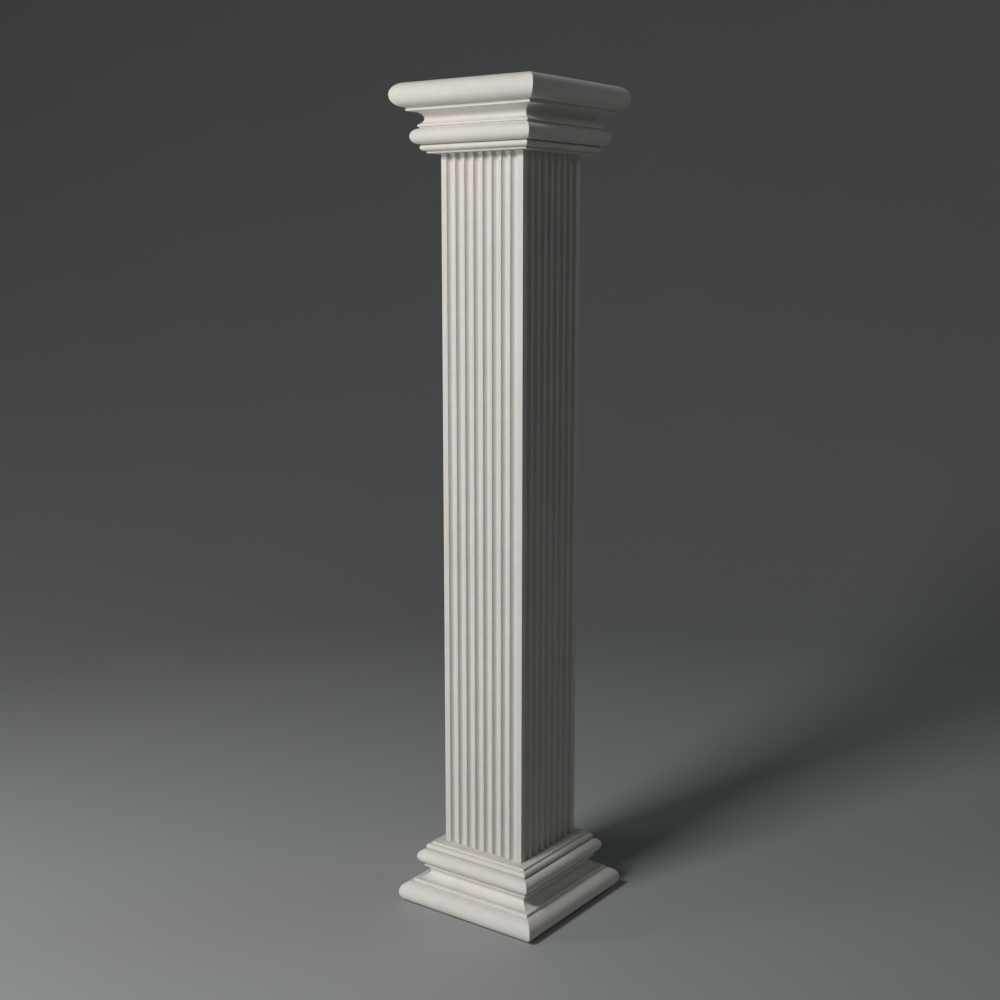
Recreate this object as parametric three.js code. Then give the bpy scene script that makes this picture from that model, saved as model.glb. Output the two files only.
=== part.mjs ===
// A square fluted column of pale stone, built of three blocks that stand on one another:
// a moulded base, a fluted shaft and a capital with the same mouldings upside down.
// Millimetres, +Z up, the origin on the floor at the middle of the base's underside.

import * as THREE from 'three';

// Shaft
const SHAFT_SIDE = 300;
const SHAFT_LENGTH = 2170;
const BED_JOINT = 0.3; // dry joint left between two blocks

// Flutes: upright hollows in a row about the middle of each face, as long as the shaft
const FLUTES_PER_FACE = 8;
const FLUTE_WIDTH = 25;
const FLUTE_DEPTH = 10; // no more than half the width
const FLUTE_FILLET = 8.5; // flat strip between two flutes
const FLUTE_STEPS = 10; // chords along each flute's arc

// Heights of the mouldings, from the outer end of the base or capital towards the shaft
const SLAB_HEIGHT = 70.8; // its edge is a half round
const SLAB_FILLET_HEIGHT = 10.2;
const SCOTIA_UPPER_HEIGHT = 21.4; // slab side of the hollow
const SCOTIA_LOWER_HEIGHT = 17.8; // shaft side of the hollow
const TORUS_FILLET_HEIGHT = 5.6;
const TORUS_RECESS_HEIGHT = 4.9; // flat strip between the fillet and the torus, set back
const TORUS_HEIGHT = 45.9; // a half round
const BEAD_HEIGHT = 18.4; // a half round
const NECK_FILLET_HEIGHT = 7;

// How far the mouldings stand out from the shaft's face
const SLAB_PROJECTION = 110;
const SCOTIA_LIP_PROJECTION = 60.3; // edge of the hollow beside the slab's fillet
const SCOTIA_PROJECTION = 35; // bottom of the hollow
const TORUS_FILLET_PROJECTION = 50; // where the hollow ends
const TORUS_RECESS_PROJECTION = 46.5;
const TORUS_PROJECTION = 66.9;
const BEAD_PROJECTION = 45.6;
const NECK_FILLET_PROJECTION = 31;

const ROUND_STEPS = 20; // chords round a half-round moulding
const HOLLOW_STEPS = 9; // chords in each half of the scotia

// Degrees that the hollow's curve turns from its bottom to its edges
const SCOTIA_UPPER_TURN = 68;
const SCOTIA_LOWER_TURN = 51;

const stone = new THREE.MeshStandardMaterial({ color: 0xd2cec7, roughness: 0.85, metalness: 0 });

// Points on an arc about (outward, height), angles in degrees from the outward direction.
function arcPoints(outward, height, radiusOut, radiusUp, fromAngle, toAngle, steps) {
  const curve = new THREE.EllipseCurve(
    outward, height, radiusOut, radiusUp,
    THREE.MathUtils.degToRad(fromAngle), THREE.MathUtils.degToRad(toAngle), toAngle < fromAngle,
  );
  return curve.getPoints(steps);
}

// A half round of the given height whose nose reaches `reach` from the column's axis. It starts
// where it leaves a flat strip that reaches `start`.
function halfRound(reach, foot, height, start = reach - height / 2) {
  const radius = height / 2;
  const fromAngle = -THREE.MathUtils.radToDeg(Math.acos((start - reach + radius) / radius));
  return arcPoints(reach - radius, foot + radius, radius, radius, fromAngle, 90, ROUND_STEPS);
}

// Half of the hollow, from its bottom to an edge that is `reach` further out and `height` away:
// towards the slab where `side` is -1, towards the shaft where it is 1.
function hollowHalf(bottom, waist, reach, height, turn, side) {
  const angle = THREE.MathUtils.degToRad(turn);
  const radiusOut = reach / (1 - Math.cos(angle));
  const radiusUp = height / Math.sin(angle);
  return arcPoints(bottom + radiusOut, waist, radiusOut, radiusUp, 180, 180 - side * turn, HOLLOW_STEPS);
}

// The section of the mouldings: x is the distance of the face from the axis, y the height
// above the slab's flat outer side. It starts and ends on the axis.
function mouldingSection() {
  const face = SHAFT_SIDE / 2;
  const lip = SLAB_HEIGHT + SLAB_FILLET_HEIGHT;
  const waist = lip + SCOTIA_UPPER_HEIGHT;
  const foot = waist + SCOTIA_LOWER_HEIGHT;
  const recess = foot + TORUS_FILLET_HEIGHT;
  const torus = recess + TORUS_RECESS_HEIGHT;
  const bead = torus + TORUS_HEIGHT;
  const neck = bead + BEAD_HEIGHT;
  const end = neck + NECK_FILLET_HEIGHT;
  const slabFillet = face + SLAB_PROJECTION - SLAB_HEIGHT / 2;
  const hollow = face + SCOTIA_PROJECTION;
  const lipReach = SCOTIA_LIP_PROJECTION - SCOTIA_PROJECTION;
  const footReach = TORUS_FILLET_PROJECTION - SCOTIA_PROJECTION;
  const towardsSlab = hollowHalf(hollow, waist, lipReach, SCOTIA_UPPER_HEIGHT, SCOTIA_UPPER_TURN, -1);
  const towardsShaft = hollowHalf(hollow, waist, footReach, SCOTIA_LOWER_HEIGHT, SCOTIA_LOWER_TURN, 1);
  const section = [
    new THREE.Vector2(0, 0),
    ...halfRound(face + SLAB_PROJECTION, 0, SLAB_HEIGHT),
    new THREE.Vector2(slabFillet, lip),
    ...towardsSlab.reverse(),
    ...towardsShaft.slice(1),
    new THREE.Vector2(face + TORUS_FILLET_PROJECTION, recess),
    new THREE.Vector2(face + TORUS_RECESS_PROJECTION, recess),
    ...halfRound(face + TORUS_PROJECTION, torus, TORUS_HEIGHT, face + TORUS_RECESS_PROJECTION),
    ...halfRound(face + BEAD_PROJECTION, bead, BEAD_HEIGHT),
    new THREE.Vector2(face + NECK_FILLET_PROJECTION, neck),
    new THREE.Vector2(face + NECK_FILLET_PROJECTION, end),
    new THREE.Vector2(0, end),
  ];
  return { section, height: end };
}

// The section run round a square and mitred at its corners: a lathe with four sides.
function squareMoulding(section) {
  const atCorners = section.map((point) => new THREE.Vector2(point.x * Math.SQRT2, point.y));
  return new THREE.LatheGeometry(atCorners, 4, Math.PI / 4).rotateX(Math.PI / 2);
}

// The shaft's plan: a square with the flutes cut into each side, run anticlockwise.
function shaftPlan() {
  const half = SHAFT_SIDE / 2;
  const pitch = FLUTE_WIDTH + FLUTE_FILLET;
  const radius = (FLUTE_WIDTH ** 2 / 4 + FLUTE_DEPTH ** 2) / (2 * FLUTE_DEPTH);
  const halfAngle = Math.asin(FLUTE_WIDTH / 2 / radius);
  const points = [];
  for (let side = 0; side < 4; side += 1) {
    const corner = new THREE.Vector2(-half, -half);
    const face = [corner];
    for (let flute = 0; flute < FLUTES_PER_FACE; flute += 1) {
      const centre = (flute - (FLUTES_PER_FACE - 1) / 2) * pitch;
      for (let step = 0; step <= FLUTE_STEPS; step += 1) {
        const angle = halfAngle * (2 * step / FLUTE_STEPS - 1);
        const depth = radius * (Math.cos(angle) - 1) + FLUTE_DEPTH;
        face.push(new THREE.Vector2(centre + radius * Math.sin(angle), depth - half));
      }
    }
    const turn = side * Math.PI / 2;
    points.push(...face.map((point) => point.clone().rotateAround(new THREE.Vector2(), turn)));
  }
  return new THREE.Shape(points);
}

function piece(name, geometry) {
  const mesh = new THREE.Mesh(geometry, stone.clone());
  mesh.name = name;
  return mesh;
}

const moulding = mouldingSection();

const base = piece('base', squareMoulding(moulding.section));

const shaft = piece('shaft', new THREE.ExtrudeGeometry(shaftPlan(), { depth: SHAFT_LENGTH, bevelEnabled: false }));
shaft.position.z = moulding.height + BED_JOINT;

const capital = piece('capital', squareMoulding(moulding.section));
capital.rotation.x = Math.PI;
capital.position.z = shaft.position.z + SHAFT_LENGTH + BED_JOINT + moulding.height;

const column = new THREE.Group();
column.add(base, shaft, capital);

export default column;
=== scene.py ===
import math

import bpy
from bpy.props import FloatProperty, FloatVectorProperty, IntProperty, PointerProperty
from mathutils import Matrix, Vector


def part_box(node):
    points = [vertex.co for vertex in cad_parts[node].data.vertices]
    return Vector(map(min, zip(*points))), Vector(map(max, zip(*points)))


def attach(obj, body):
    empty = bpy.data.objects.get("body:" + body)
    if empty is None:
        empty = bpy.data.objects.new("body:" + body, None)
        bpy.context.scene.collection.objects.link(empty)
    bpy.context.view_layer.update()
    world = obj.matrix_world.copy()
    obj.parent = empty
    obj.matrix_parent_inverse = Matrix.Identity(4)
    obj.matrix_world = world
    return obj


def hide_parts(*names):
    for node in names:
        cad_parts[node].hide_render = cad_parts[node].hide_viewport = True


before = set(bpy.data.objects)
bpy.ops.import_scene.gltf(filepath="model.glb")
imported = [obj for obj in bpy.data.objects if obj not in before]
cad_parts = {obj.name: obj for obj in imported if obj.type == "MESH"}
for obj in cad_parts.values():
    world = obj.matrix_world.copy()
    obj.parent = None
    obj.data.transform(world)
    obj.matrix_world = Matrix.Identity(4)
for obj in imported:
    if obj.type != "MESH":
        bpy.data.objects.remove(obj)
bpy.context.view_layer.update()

# A square fluted column of pale stone: a moulded base, a fluted shaft and a capital with
# the base's mouldings upside down, on a plain pale floor. Metres, the same frame as the solids.

bl_info = {
    "name": "Square fluted column",
    "version": (1, 0, 0),
    "blender": (4, 5, 0),
    "location": "View3D > Sidebar > Column",
    "description": "Builds a square fluted stone column with its base, capital and stage",
    "category": "Add Mesh",
}

MM = 0.001


def length(name, millimetres, description):
    """A length that a user may change, given in millimetres and kept in metres."""
    return FloatProperty(
        name=name, description=description, default=millimetres * MM, min=0, unit="LENGTH", precision=4
    )


def share(name, default, description):
    return FloatProperty(name=name, description=description, default=default, min=0, max=1, subtype="FACTOR")


def tint(name, default, description):
    return FloatVectorProperty(
        name=name, description=description, default=default, size=3, min=0, max=1, subtype="COLOR"
    )


def degrees(name, default, description):
    return FloatProperty(name=name, description=description, default=math.radians(default), subtype="ANGLE")


def half_width(node):
    """Half the width of a node of the frame."""
    low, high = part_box(node)
    return (high.x - low.x) / 2


# Sizes and colours

class MouldingSizes(bpy.types.PropertyGroup):
    """Heights run from the slab's flat outer side to the shaft, reaches from the column's axis."""

    slab_height: length("Slab", 70.8, "Height of the slab, whose edge is a half round")
    slab_fillet_height: length("Slab fillet", 10.2, "Height of the flat strip between slab and hollow")
    scotia_upper_height: length("Hollow, slab side", 21.4, "Height of the hollow's part beside the slab")
    scotia_lower_height: length("Hollow, shaft side", 17.8, "Height of the hollow's part beside the torus")
    torus_fillet_height: length("Torus fillet", 5.6, "Height of the thin strip between hollow and torus")
    torus_recess_height: length("Torus recess", 4.9, "Height of the strip set back beside the torus")
    torus_height: length("Torus", 45.9, "Height of the large half round")
    bead_height: length("Bead", 18.4, "Height of the small half round")
    slab_reach: length("Slab reach", half_width("base") / MM, "Axis to the slab's nose")
    scotia_lip_reach: length("Hollow lip reach", 210.3, "Axis to the hollow's edge beside the slab")
    scotia_reach: length("Hollow reach", 185, "Axis to the bottom of the hollow")
    scotia_upper_turn: degrees("Hollow turn, slab side", 68, "How far the curve turns to its lip")
    scotia_lower_turn: degrees("Hollow turn, shaft side", 51, "How far the curve turns to the torus fillet")
    torus_fillet_reach: length("Torus fillet reach", 200, "Axis to the thin strip")
    torus_recess_reach: length("Torus recess reach", 196.5, "Axis to the strip set back beside the torus")
    torus_reach: length("Torus reach", 216.9, "Axis to the torus's nose")
    bead_reach: length("Bead reach", 195.6, "Axis to the bead's nose")
    neck_reach: length("Neck reach", 181, "Axis to the flat strip beside the shaft")
    easing: length("Arris easing", 0.9, "How far the sharp edges are rubbed down")
    mitre_radius: length("Mitre radius", 1.6, "Rounding of the upright edge where two sides meet")


class ShaftSizes(bpy.types.PropertyGroup):
    """The shaft and the flutes on each of its four faces."""

    half_side: length("Half side", half_width("shaft") / MM, "Axis to a face of the shaft")
    flutes: IntProperty(name="Flutes", description="Flutes on each face", default=8, min=1, max=12)
    flute_width: length("Flute width", 25, "Width of one upright hollow")
    flute_depth: length("Flute depth", 10, "Depth of one upright hollow")
    flute_fillet: length("Flute fillet", 8.5, "Width of the flat strip between two flutes")
    easing: length("Arris easing", 0.5, "How far the flutes' edges are rubbed down")
    corner_easing: length("Corner easing", 1.6, "How far the shaft's four corners are rubbed down")


class StoneLook(bpy.types.PropertyGroup):
    """Colour and surface of the stone."""

    colour: tint("Stone", (0.65, 0.62, 0.58), "Colour of the shaft and the capital")
    # The base is paler than the other blocks: partly its own tone, partly painted light for the extra light
    # that falls on it.
    base_tone_and_painted_light: tint("Base stone", (0.745, 0.714, 0.672), "Colour of the base, which is a little paler")
    # This colour darkens the pits as dirt, and the creases, the shaft's ends and the flutes' bottoms as dirt
    # and painted shade; the next share sets how much.
    dust_and_shade: tint("Dust", (0.33, 0.305, 0.27), "What has settled in creases and pits")
    creases: share("Dust in creases", 0.12, "How much of the dust shows in the creases")
    # The rubbed edges are painted paler: partly wear, partly painted highlight.
    rubbed: share("Rubbed edges", 0.05, "How much paler the rubbed edges are")
    clouds: share("Clouds", 0.12, "How much the tone drifts over a hand's width")
    mottle: share("Mottle", 0.13, "How much the tone drifts over a finger's width")
    grain: share("Grain", 0.07, "How much the tone changes from grain to grain")
    roughness: share("Roughness", 0.84, "Roughness of the rubbed face")
    pit_depth: length("Pit depth", 0.35, "Depth of the small open pits")


class StageLook(bpy.types.PropertyGroup):
    """Floor, backdrop and camera."""

    floor: tint("Floor", (0.385, 0.4, 0.4), "Pale paint on the floor and its curved back")
    azimuth: degrees("Camera azimuth", 36.23, "Round the column from its front towards its right")
    elevation: degrees("Camera elevation", 10.08, "Above the horizon")
    distance: length("Camera distance", 4422, "Camera to the point it looks at")
    aim_height: length("Aim height", 1318.4, "Height of the point the camera looks at")
    aim_left: length("Aim to the left", 33.9, "How far that point lies left of the column's axis")
    focal_length: FloatProperty(name="Focal length", description="On a 36 mm wide film", default=50.83, min=1)


class ColumnSettings(bpy.types.PropertyGroup):
    """Everything that a user may change."""

    moulding: PointerProperty(type=MouldingSizes, name="Mouldings", description="Base and capital")
    shaft: PointerProperty(type=ShaftSizes, name="Shaft", description="Shaft and flutes")
    stone: PointerProperty(type=StoneLook, name="Stone", description="Colour and surface")
    stage: PointerProperty(type=StageLook, name="Stage", description="Floor and camera")


# Outlines

# An outline is a list of (point, mark). Arrises and the shaft's corners are rubbed down and painted paler,
# as wear and painted highlight, and creases are darkened as dirt and painted shade.
PLAIN = 0
ARRIS = 1
CREASE = 2
CORNER = 3

ROUND_STEPS = 48
HOLLOW_STEPS = 18
FLUTE_STEPS = 18
EASE_STEPS = 4
EASE_LIMIT = 0.45  # most of a straight that the easing of one of its ends may take
EASE_HOLD = 2  # in easings, how far from the edge a point keeps the face flat
ROUNDING = 1e-6  # keeps a stretch that is as long as the spacing in one part
SHARP_ANGLE = math.radians(40)


def arc(centre, radii, start, end, steps):
    """Points of an arc, with its angles in degrees from the first axis."""
    points = []
    for step in range(steps + 1):
        angle = math.radians(start + (end - start) * step / steps)
        offset = Vector((radii[0] * math.cos(angle), radii[1] * math.sin(angle)))
        points.append((Vector(centre) + offset, PLAIN))
    return points


def half_round(reach, foot, height, strip=None):
    """A half round, from its edge or from where it leaves a flat strip of the given reach."""
    radius = height / 2
    middle = reach - radius
    start = -90 if strip is None else -math.degrees(math.acos((strip - middle) / radius))
    return arc((middle, foot + radius), (radius, radius), start, 90, ROUND_STEPS)


def hollow_half(bottom, waist, reach, height, turn, side):
    """Half of the hollow, from its bottom to an edge further out and away.

    The side is -1 towards the slab and 1 towards the shaft."""
    radii = (reach / (1 - math.cos(turn)), height / math.sin(turn))
    return arc((bottom + radii[0], waist), radii, 180, 180 - side * math.degrees(turn), HOLLOW_STEPS)


def eased(outline, easings):
    """The points, with each one whose mark has a length in easings rubbed down to a small curve.

    The first and last point of an open outline are plain, so the same code does for both kinds."""
    made = []
    count = len(outline)
    for index, (point, mark) in enumerate(outline):
        if mark not in easings:
            made.append(point)
            continue
        before = outline[index - 1][0] - point
        after = outline[(index + 1) % count][0] - point
        cut = min(easings[mark], EASE_LIMIT * before.length, EASE_LIMIT * after.length)
        start = before.normalized() * cut
        end = after.normalized() * cut
        if before.length > (EASE_HOLD + 1) * cut:
            made.append(point + EASE_HOLD * start)
        for step in range(EASE_STEPS + 1):
            t = step / EASE_STEPS
            made.append(point + start * (1 - t) ** 2 + end * t ** 2)
        if after.length > (EASE_HOLD + 1) * cut:
            made.append(point + EASE_HOLD * end)
    return made


def spaced(points, spacing, closed=False):
    """The points, with more between them so that none are further apart than the spacing."""
    made = []
    pairs = list(zip(points, points[1:]))
    if closed:
        pairs.append((points[-1], points[0]))
    for first, second in pairs:
        parts = max(1, math.ceil((second - first).length / spacing - ROUNDING))
        made += [first.lerp(second, part / parts) for part in range(parts)]
    if not closed:
        made.append(points[-1])
    return made


def nearness(point, places, reach):
    """1 on the nearest of the places, falling off over the reach."""
    return math.exp(-min((point - place).length for place in places) / reach)


def marked(outline, *marks):
    """The points that have one of the marks."""
    return [point for point, mark in outline if mark in marks]


# Base and capital

CREASE_REACH = 3.5 * MM  # how far the darkening spreads from the creases: dirt and painted shade
ARRIS_REACH = 1.2 * MM  # how far the paler paint spreads from an edge: wear and painted highlight
CAP_MARGIN = 4 * MM  # strip round each flat end
SECTION_SPACING = 5 * MM
SIDE_SPACING = 28 * MM
CORNER_STEPS = 4
CORNER_HOLDS = (1.5 * MM, 4 * MM)  # from a rounded corner to the points that keep the side flat


def moulding_outline(sizes, face):
    """The section from the slab's flat outer side to the flat that the shaft stands on."""
    lip = sizes.slab_height + sizes.slab_fillet_height
    waist = lip + sizes.scotia_upper_height
    foot = waist + sizes.scotia_lower_height
    recess = foot + sizes.torus_fillet_height
    torus = recess + sizes.torus_recess_height
    bead = torus + sizes.torus_height
    neck = bead + sizes.bead_height
    low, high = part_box("base")
    end = high.z - low.z
    slab_edge = sizes.slab_reach - sizes.slab_height / 2
    lip_reach = sizes.scotia_lip_reach - sizes.scotia_reach
    foot_reach = sizes.torus_fillet_reach - sizes.scotia_reach
    towards_slab = hollow_half(
        sizes.scotia_reach, waist, lip_reach, sizes.scotia_upper_height, sizes.scotia_upper_turn, -1
    )
    towards_shaft = hollow_half(
        sizes.scotia_reach, waist, foot_reach, sizes.scotia_lower_height, sizes.scotia_lower_turn, 1
    )
    towards_slab[-1] = (towards_slab[-1][0], CREASE)
    towards_shaft[-1] = (towards_shaft[-1][0], ARRIS)
    slab = half_round(sizes.slab_reach, 0, sizes.slab_height)
    torus_round = half_round(sizes.torus_reach, torus, sizes.torus_height, sizes.torus_recess_reach)
    torus_round[0] = (torus_round[0][0], CREASE)
    bead_round = half_round(sizes.bead_reach, bead, sizes.bead_height)
    for turned_in in (slab, torus_round, bead_round):
        turned_in[-1] = (turned_in[-1][0], CREASE)
    return [
        (Vector((slab_edge - CAP_MARGIN, 0)), PLAIN),
        *slab,
        (Vector((slab_edge, lip)), ARRIS),
        *reversed(towards_slab),
        *towards_shaft[1:],
        (Vector((sizes.torus_fillet_reach, recess)), ARRIS),
        (Vector((sizes.torus_recess_reach, recess)), CREASE),
        *torus_round,
        *bead_round,
        (Vector((sizes.neck_reach, neck)), CREASE),
        (Vector((sizes.neck_reach, end)), ARRIS),
        (Vector((face, end)), CREASE),
        (Vector((face - CAP_MARGIN, end)), PLAIN),
    ]


def square_ring(reach, radius, parts):
    """Points of a square with rounded corners, anticlockwise, each with its distance from a corner."""
    middle = reach - radius
    holds = [middle - hold for hold in CORNER_HOLDS]
    between = [holds[-1] * (1 - 2 * part / parts) for part in range(1, parts)]
    along = [*holds, *between, *(-hold for hold in reversed(holds))]
    ring = []
    for quarter in range(4):
        turn = Matrix.Rotation(quarter * math.pi / 2, 2)
        for step in range(CORNER_STEPS + 1):
            angle = math.pi / 2 * step / CORNER_STEPS
            corner = Vector((middle + radius * math.cos(angle), middle + radius * math.sin(angle)))
            ring.append((turn @ corner, 0.0))
        for place in along:
            ring.append((turn @ Vector((place, reach)), middle - abs(place)))
    return ring


def moulding_mesh(name, sizes, face):
    """The section run round a square, with the slab's flat side at the origin and facing down."""
    outline = moulding_outline(sizes, face)
    arrises = marked(outline, ARRIS)
    creases = marked(outline, CREASE)
    section = spaced(eased(outline, {ARRIS: sizes.easing}), SECTION_SPACING)
    parts = round(2 * sizes.slab_reach / SIDE_SPACING)
    vertices = []
    arris_wear_and_highlight = []
    crease_dust_and_shade = []
    for point in section:
        # Near the arrises the stone is painted paler, as wear and painted highlight; near the creases darker,
        # as dirt and painted shade.
        on_arris = nearness(point, arrises, ARRIS_REACH)
        in_crease = nearness(point, creases, CREASE_REACH)
        for place, from_corner in square_ring(point.x, sizes.mitre_radius, parts):
            vertices.append((place.x, place.y, point.y))
            arris_wear_and_highlight.append(max(on_arris, math.exp(-from_corner / ARRIS_REACH)))
            crease_dust_and_shade.append(in_crease)
    return banded_mesh(name, vertices, len(section), {"arris_wear_and_highlight": arris_wear_and_highlight, "crease_dust_and_shade": crease_dust_and_shade})


def banded_mesh(name, vertices, rows, marks):
    """A closed mesh from rows of points, anticlockwise and from the bottom up."""
    count = len(vertices) // rows
    faces = [tuple(reversed(range(count)))]
    for row in range(rows - 1):
        foot = row * count
        for column in range(count):
            beside = (column + 1) % count
            faces.append((foot + column, foot + beside, foot + count + beside, foot + count + column))
    faces.append(tuple(range((rows - 1) * count, rows * count)))
    mesh = bpy.data.meshes.new(name)
    mesh.from_pydata(vertices, [], faces)
    for mark, values in marks.items():
        mesh.attributes.new(mark, "FLOAT", "POINT").data.foreach_set("value", values)
    mesh.shade_smooth()
    mesh.set_sharp_from_angle(angle=SHARP_ANGLE)
    return mesh


# Shaft

SHAFT_SPACING = 55 * MM
END_HOLD = 4 * MM  # from each end of the shaft to the next row of points
END_REACH = 7 * MM  # how far the darkening spreads from each end of the shaft: dirt and painted shade
PLAN_SPACING = 7 * MM
HOLLOW_DUST_AND_SHADE = 0.25  # how much the bottom of a flute is darkened: dirt and painted shade


def shaft_outline(sizes):
    """The plan, anticlockwise from the front left corner."""
    half = sizes.half_side
    pitch = sizes.flute_width + sizes.flute_fillet
    radius = (sizes.flute_width ** 2 / 4 + sizes.flute_depth ** 2) / (2 * sizes.flute_depth)
    half_angle = math.degrees(math.asin(sizes.flute_width / 2 / radius))
    face = [(Vector((-half, -half)), CORNER)]
    for flute in range(sizes.flutes):
        centre = (flute - (sizes.flutes - 1) / 2) * pitch
        middle = (centre, sizes.flute_depth - radius - half)
        hollow = arc(middle, (radius, radius), 90 + half_angle, 90 - half_angle, FLUTE_STEPS)
        hollow[0] = (hollow[0][0], ARRIS)
        hollow[-1] = (hollow[-1][0], ARRIS)
        face += hollow
    outline = []
    for side in range(4):
        turn = Matrix.Rotation(side * math.pi / 2, 2)
        outline += [(turn @ point, mark) for point, mark in face]
    return outline


def shaft_mesh(name, sizes, foot, head):
    """The plan run from foot to head."""
    outline = shaft_outline(sizes)
    half = sizes.half_side
    arrises = marked(outline, ARRIS, CORNER)
    points = eased(outline, {ARRIS: sizes.easing, CORNER: sizes.corner_easing})
    plan = spaced(points, PLAN_SPACING, closed=True)
    rows = max(2, round((head - foot) / SHAFT_SPACING))
    between = [foot + END_HOLD + (head - foot - 2 * END_HOLD) * row / rows for row in range(rows + 1)]
    heights = [foot, *between, head]
    on_arris = [nearness(point, arrises, ARRIS_REACH) for point in plan]
    depth = [(half - max(abs(point.x), abs(point.y))) / sizes.flute_depth for point in plan]
    vertices = []
    arris_wear_and_highlight = []
    crease_dust_and_shade = []
    for height in heights:
        # The shaft is darkened towards both ends and in its flutes: dirt and painted shade.
        at_end = math.exp(-min(height - foot, head - height) / END_REACH)
        for index, point in enumerate(plan):
            vertices.append((point.x, point.y, height))
            arris_wear_and_highlight.append(on_arris[index])
            crease_dust_and_shade.append(max(at_end, HOLLOW_DUST_AND_SHADE * depth[index]))
    return banded_mesh(name, vertices, len(heights), {"arris_wear_and_highlight": arris_wear_and_highlight, "crease_dust_and_shade": crease_dust_and_shade})


# Surfaces

NOISE_MEAN = 0.5
MIX_INPUTS = (0, 6, 7)  # a Mix node's factor and its two colours
MIX_RESULT = 2  # its mixed colour


class Value:
    """A number that changes over a surface. Arithmetic on it adds Math nodes."""

    def __init__(self, finish, socket):
        self.finish = finish
        self.socket = socket

    def math(self, operation, first, second):
        made = self.finish.node("ShaderNodeMath", {"operation": operation}, {0: first, 1: second})
        return Value(self.finish, made.outputs[0])

    def __add__(self, other):
        return self.math("ADD", self, other)

    def __radd__(self, other):
        return self.math("ADD", other, self)

    def __sub__(self, other):
        return self.math("SUBTRACT", self, other)

    def __rsub__(self, other):
        return self.math("SUBTRACT", other, self)

    def __mul__(self, other):
        return self.math("MULTIPLY", self, other)

    def __rmul__(self, other):
        return self.math("MULTIPLY", other, self)

    def ramp(self, low, high):
        """0 at low and below, 1 at high and above."""
        inputs = {"Value": self, "From Min": low, "From Max": high}
        made = self.finish.node("ShaderNodeMapRange", {"interpolation_type": "SMOOTHSTEP"}, inputs)
        return Value(self.finish, made.outputs["Result"])


class Finish:
    """The nodes of one material."""

    def __init__(self, name):
        self.material = bpy.data.materials.new(name)
        self.material.use_nodes = True
        self.tree = self.material.node_tree
        self.shader = self.tree.nodes["Principled BSDF"]
        self.place = self.node("ShaderNodeTexCoord").outputs["Object"]

    def feed(self, socket, given):
        """Links a socket to what changes over the surface, or sets it to what doesn't."""
        source = given.socket if isinstance(given, Value) else given
        if isinstance(source, bpy.types.NodeSocket):
            self.tree.links.new(source, socket)
        else:
            socket.default_value = source

    def node(self, kind, settings=None, inputs=None):
        made = self.tree.nodes.new(kind)
        for name, setting in (settings or {}).items():
            setattr(made, name, setting)
        for name, given in (inputs or {}).items():
            self.feed(made.inputs[name], given)
        return made

    def moved(self, offset):
        """The place on the surface, moved so that two blocks don't share one pattern."""
        return self.node("ShaderNodeVectorMath", {"operation": "ADD"}, {0: self.place, 1: offset}).outputs[0]

    def noise(self, size, detail=3.0, roughness=0.5, offset=(0, 0, 0)):
        """Soft patches of about the given size in metres, from 0 to 1."""
        inputs = {"Vector": self.moved(offset), "Scale": 1 / size, "Detail": detail, "Roughness": roughness}
        return Value(self, self.node("ShaderNodeTexNoise", {}, inputs).outputs[0])

    def cells(self, size, offset):
        """Distance from the nearest of scattered points, in parts of the given size."""
        inputs = {"Vector": self.moved(offset), "Scale": 1 / size}
        return Value(self, self.node("ShaderNodeTexVoronoi", {}, inputs).outputs["Distance"])

    def mark(self, name):
        """A number kept on the mesh's points."""
        return Value(self, self.node("ShaderNodeAttribute", {"attribute_name": name}).outputs["Fac"])

    def mixed(self, factor, first, second, blend="MIX"):
        """Two colours mixed."""
        made = self.node("ShaderNodeMix", {"data_type": "RGBA", "blend_type": blend})
        for index, given in zip(MIX_INPUTS, (factor, first, second)):
            self.feed(made.inputs[index], given)
        return made.outputs[MIX_RESULT]

    def grey(self, value):
        """A number as a grey colour."""
        return self.node("ShaderNodeCombineColor", {}, {0: value, 1: value, 2: value}).outputs[0]

    def bump(self, height):
        """A height in metres as a change of normal."""
        inputs = {"Strength": 1.0, "Distance": 1.0, "Height": height}
        return self.node("ShaderNodeBump", {}, inputs).outputs[0]


def opaque(colour):
    return (*colour, 1.0)


# Stone

# Sizes of the patterns in metres
CLOUD_SIZE = 0.22
MOTTLE_SIZE = 0.035
GRAIN_SIZE = 1.6 * MM
HUE_SIZE = 0.12
PATCH_SIZE = 0.05
DUST_AND_SHADE_SIZE = 0.018
PIT_SPACING = 0.011

# Where each block's patterns start, so that no two blocks share one
BASE_PATTERN = (0, 0, 0)
SHAFT_PATTERN = (2, 11, 4)
CAPITAL_PATTERN = (7, 2, 0)
HUE_SHIFT = 3
PATCH_SHIFT = 5

PIT_RIM = (0.05, 0.16)  # where a pit's floor ends and where its rim is, in parts of the spacing

# Where in a noise an effect begins and where there is all of it
PIT_PATCHES = (0.5, 0.62)
WEAR_AND_HIGHLIGHT_PATCHES = (0.38, 0.62)
EVEN_PATCHES = (0.3, 0.7)

WARM_DRIFT = (1.012, 0.998, 0.98)
COOL_DRIFT = (0.988, 1.002, 1.01)
GRAIN_GAIN = 2  # how many times the grain's share counts
PIT_DUST = 0.55
MOTTLE_ROUGHNESS = 0.12
RUBBED_SMOOTHNESS = 0.08
GRAIN_HEIGHT = 0.06 * MM
MOTTLE_HEIGHT = 0.25 * MM


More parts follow.
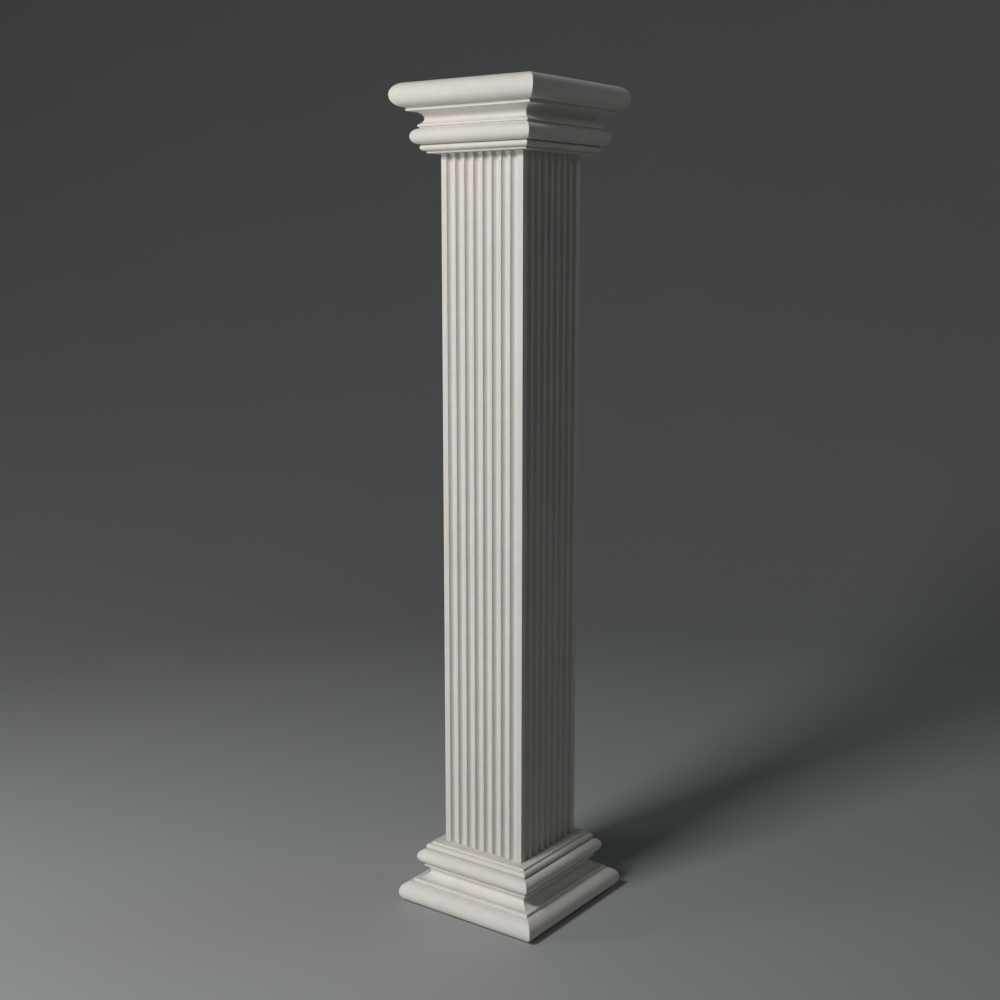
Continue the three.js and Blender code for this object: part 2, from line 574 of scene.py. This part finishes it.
def stone(name, look, colour, offset):
    """Fine pale stone, rubbed smooth: soft clouds, a fine grain, small pits, edges painted paler as wear and
    painted highlight, and creases darkened as dirt and painted shade.
    """
    finish = Finish(name)
    along, across, up = offset
    clouds = finish.noise(CLOUD_SIZE, offset=offset) - NOISE_MEAN
    mottle = finish.noise(MOTTLE_SIZE, roughness=0.55, offset=offset) - NOISE_MEAN
    grain = finish.noise(GRAIN_SIZE, detail=2.0, roughness=0.6, offset=offset) - NOISE_MEAN
    hue = finish.noise(HUE_SIZE, detail=2.0, offset=(along + HUE_SHIFT, across, up))
    patch = finish.noise(PATCH_SIZE, roughness=0.6, offset=(along, across + PATCH_SHIFT, up))
    dust_and_shade = finish.noise(DUST_AND_SHADE_SIZE, roughness=0.6, offset=offset)
    pits = (1 - finish.cells(PIT_SPACING, offset).ramp(*PIT_RIM)) * patch.ramp(*PIT_PATCHES)
    # Paler edges: wear and painted highlight.
    arris_wear_and_highlight = finish.mark("arris_wear_and_highlight") * patch.ramp(*WEAR_AND_HIGHLIGHT_PATCHES)
    # Darker creases, shaft ends and flute bottoms: dirt and painted shade.
    crease_dust_and_shade = finish.mark("crease_dust_and_shade") * dust_and_shade.ramp(*EVEN_PATCHES)
    warm = tuple(channel * drift for channel, drift in zip(colour, WARM_DRIFT))
    cool = tuple(channel * drift for channel, drift in zip(colour, COOL_DRIFT))
    drifted = finish.mixed(hue.ramp(*EVEN_PATCHES), opaque(cool), opaque(warm))
    drift = clouds * look.clouds + mottle * look.mottle + grain * (GRAIN_GAIN * look.grain)
    toned = finish.mixed(1.0, drifted, finish.grey(1 + drift + arris_wear_and_highlight * look.rubbed), "MULTIPLY")
    dusty_and_shaded = finish.mixed(crease_dust_and_shade * look.creases, toned, opaque(look.dust_and_shade))
    finish.feed(finish.shader.inputs["Base Color"], finish.mixed(pits * PIT_DUST, dusty_and_shaded, opaque(look.dust_and_shade)))
    roughness = look.roughness + mottle * MOTTLE_ROUGHNESS - arris_wear_and_highlight * RUBBED_SMOOTHNESS
    finish.feed(finish.shader.inputs["Roughness"], roughness)
    height = grain * GRAIN_HEIGHT + mottle * MOTTLE_HEIGHT - pits * look.pit_depth
    finish.feed(finish.shader.inputs["Normal"], finish.bump(height))
    return finish.material


# Floor paint

PAINT_PATCH_SIZE = 0.6
PAINT_TONE = 0.03
PAINT_ROUGHNESS = 0.8
PAINT_ROUGHNESS_DRIFT = 0.08
STIPPLE_SIZE = 4 * MM
STIPPLE_HEIGHT = 0.05 * MM


def paint(name, colour):
    """Flat pale paint with a faint roller texture."""
    finish = Finish(name)
    patches = finish.noise(PAINT_PATCH_SIZE, detail=2.0) - NOISE_MEAN
    stipple = finish.noise(STIPPLE_SIZE, detail=2.0)
    toned = finish.mixed(1.0, opaque(colour), finish.grey(1 + patches * PAINT_TONE), "MULTIPLY")
    finish.feed(finish.shader.inputs["Base Color"], toned)
    finish.feed(finish.shader.inputs["Roughness"], PAINT_ROUGHNESS + patches * PAINT_ROUGHNESS_DRIFT)
    finish.feed(finish.shader.inputs["Normal"], finish.bump(stipple * STIPPLE_HEIGHT))
    return finish.material


# Stage

FLOOR_RINGS = (0.5, 2.0)  # radii of the rings of points inside the floor
FLOOR_RADIUS = 3.5
COVE_RADIUS = 5.5
COVE_STEPS = 32
WALL_HEIGHT = 8.0
RING_STEPS = 96
AIR_LIGHT = 0.01
FILM_WIDTH = 36  # millimetres
FAR_END = 100  # metres, as far as the camera sees

# Each light's name, azimuth, elevation, distance, side, the height it looks at, watts and colour
LIGHTS = (
    ("low key", -40, 0, 4.5, 1.0, 0.5, 80, (1, 1, 1)),
    ("high key", -8, 43, 5.2, 1.2, 0.6, 137, (1, 1, 1)),
    ("rim light", 140, 32, 4.5, 1.6, 1.8, 17, (0.9, 0.98, 1)),
)


def cove_mesh(name):
    """A round floor that curves up into a wall on every side."""
    outline = [(ring, 0) for ring in FLOOR_RINGS]
    for step in range(COVE_STEPS + 1):
        angle = math.pi / 2 * step / COVE_STEPS
        outline.append((FLOOR_RADIUS + COVE_RADIUS * math.sin(angle), COVE_RADIUS * (1 - math.cos(angle))))
    outline.append((FLOOR_RADIUS + COVE_RADIUS, WALL_HEIGHT))
    vertices = []
    for reach, height in outline:
        for step in range(RING_STEPS):
            angle = 2 * math.pi * step / RING_STEPS
            vertices.append((reach * math.cos(angle), reach * math.sin(angle), height))
    faces = [tuple(range(RING_STEPS))]
    for row in range(len(outline) - 1):
        foot = row * RING_STEPS
        outer = foot + RING_STEPS
        for column in range(RING_STEPS):
            beside = (column + 1) % RING_STEPS
            faces.append((foot + column, outer + column, outer + beside, foot + beside))
    mesh = bpy.data.meshes.new(name)
    mesh.from_pydata(vertices, [], faces)
    mesh.shade_smooth()
    return mesh


def direction(azimuth, elevation):
    """Towards a place round the column: azimuth 0 is its front and 90 its right."""
    flat = math.cos(elevation)
    return Vector((math.sin(azimuth) * flat, -math.cos(azimuth) * flat, math.sin(elevation)))


def softbox(name, azimuth, elevation, distance, side, height, watts, colour):
    """A square soft light, aimed at the column's axis at the given height and left out of the picture."""
    light = bpy.data.lights.new(name, "AREA")
    light.size = side
    light.energy = watts
    light.color = colour
    holder = bpy.data.objects.new(name, light)
    back = direction(math.radians(azimuth), math.radians(elevation))
    holder.location = Vector((0, 0, height)) + back * distance
    holder.rotation_mode = "QUATERNION"
    holder.rotation_quaternion = back.to_track_quat("Z", "Y")
    holder.visible_camera = False
    bpy.context.scene.collection.objects.link(holder)


def place_camera(look):
    """The camera of the photograph, level from side to side."""
    right = Vector((math.cos(look.azimuth), math.sin(look.azimuth), 0))
    back = direction(look.azimuth, look.elevation)
    up = back.cross(right)
    place = Vector((0, 0, look.aim_height)) - right * look.aim_left + back * look.distance
    camera = bpy.data.cameras.new("camera")
    camera.sensor_width = FILM_WIDTH
    camera.lens = look.focal_length
    camera.clip_end = FAR_END
    holder = bpy.data.objects.new("camera", camera)
    holder.matrix_world = Matrix((right, up, back)).transposed().to_4x4()
    holder.location = place
    bpy.context.scene.collection.objects.link(holder)
    bpy.context.scene.camera = holder


# Operators

def new_object(name, mesh, material):
    """A mesh in the scene, in place of an earlier one of that name."""
    earlier = bpy.data.objects.get(name)
    if earlier:
        bpy.data.objects.remove(earlier)
    made = bpy.data.objects.new(name, mesh)
    made.data.materials.append(material)
    bpy.context.scene.collection.objects.link(made)
    return made


def block(name, node, mesh, material):
    """A stone of the column, in place of a node of the frame."""
    if not mesh.polygons:
        raise RuntimeError(f"{name} has no faces")
    made = new_object(name, mesh, material)
    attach(made, "root")
    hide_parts(node)
    return made


class COLUMN_OT_mouldings(bpy.types.Operator):
    """Build the moulded base and the capital, which is the same block upside down"""

    bl_idname = "column.mouldings"
    bl_label = "Base and capital"

    def execute(self, context):
        settings = context.scene.column
        face = settings.shaft.half_side
        look = settings.stone
        base = moulding_mesh("moulded_base", settings.moulding, face)
        # The base's paler colour is partly painted light.
        block("moulded_base", "base", base, stone("base stone", look, look.base_tone_and_painted_light, BASE_PATTERN))
        capital = moulding_mesh("moulded_capital", settings.moulding, face)
        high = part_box("capital")[1]
        capital.transform(Matrix.Translation((0, 0, high.z)) @ Matrix.Rotation(math.pi, 4, "X"))
        finish = stone("capital stone", look, look.colour, CAPITAL_PATTERN)
        block("moulded_capital", "capital", capital, finish)
        return {"FINISHED"}


class COLUMN_OT_shaft(bpy.types.Operator):
    """Build the square shaft with its flutes"""

    bl_idname = "column.shaft"
    bl_label = "Fluted shaft"

    def execute(self, context):
        settings = context.scene.column
        low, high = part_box("shaft")
        mesh = shaft_mesh("fluted_shaft", settings.shaft, low.z, high.z)
        look = settings.stone
        block("fluted_shaft", "shaft", mesh, stone("shaft stone", look, look.colour, SHAFT_PATTERN))
        return {"FINISHED"}


class COLUMN_OT_stage(bpy.types.Operator):
    """Lay the pale floor, hang the lights and set the camera"""

    bl_idname = "column.stage"
    bl_label = "Stage"

    def execute(self, context):
        look = context.scene.column.stage
        floor = new_object("studio_floor", cove_mesh("studio_floor"), paint("floor paint", look.floor))
        world = bpy.data.worlds.new("studio air")
        world.use_nodes = True
        world.node_tree.nodes["Background"].inputs["Strength"].default_value = AIR_LIGHT
        context.scene.world = world
        context.scene.view_settings.view_transform = "Standard"
        for name, *place in LIGHTS:
            softbox(name, *place)
        place_camera(look)
        return {"FINISHED"}


class COLUMN_PT_panel(bpy.types.Panel):
    """Sizes, colours and the steps that build the column"""

    bl_idname = "COLUMN_PT_panel"
    bl_label = "Square fluted column"
    bl_space_type = "VIEW_3D"
    bl_region_type = "UI"
    bl_category = "Column"

    def draw(self, context):
        settings = context.scene.column
        for title, group in (
            ("Mouldings", settings.moulding),
            ("Shaft", settings.shaft),
            ("Stone", settings.stone),
            ("Stage", settings.stage),
        ):
            box = self.layout.box()
            box.label(text=title)
            for name in group.bl_rna.properties.keys():
                if name not in ("rna_type", "name"):
                    box.prop(group, name)
        for operator in OPERATORS:
            self.layout.operator(operator.bl_idname)


OPERATORS = (COLUMN_OT_mouldings, COLUMN_OT_shaft, COLUMN_OT_stage)
CLASSES = (MouldingSizes, ShaftSizes, StoneLook, StageLook, ColumnSettings, *OPERATORS, COLUMN_PT_panel)


def register():
    for each in CLASSES:
        bpy.utils.register_class(each)
    bpy.types.Scene.column = PointerProperty(type=ColumnSettings)


def unregister():
    del bpy.types.Scene.column
    for each in reversed(CLASSES):
        bpy.utils.unregister_class(each)


def main():
    register()
    bpy.ops.column.mouldings()
    bpy.ops.column.shaft()
    bpy.ops.column.stage()


if __name__ == "__main__":
    main()
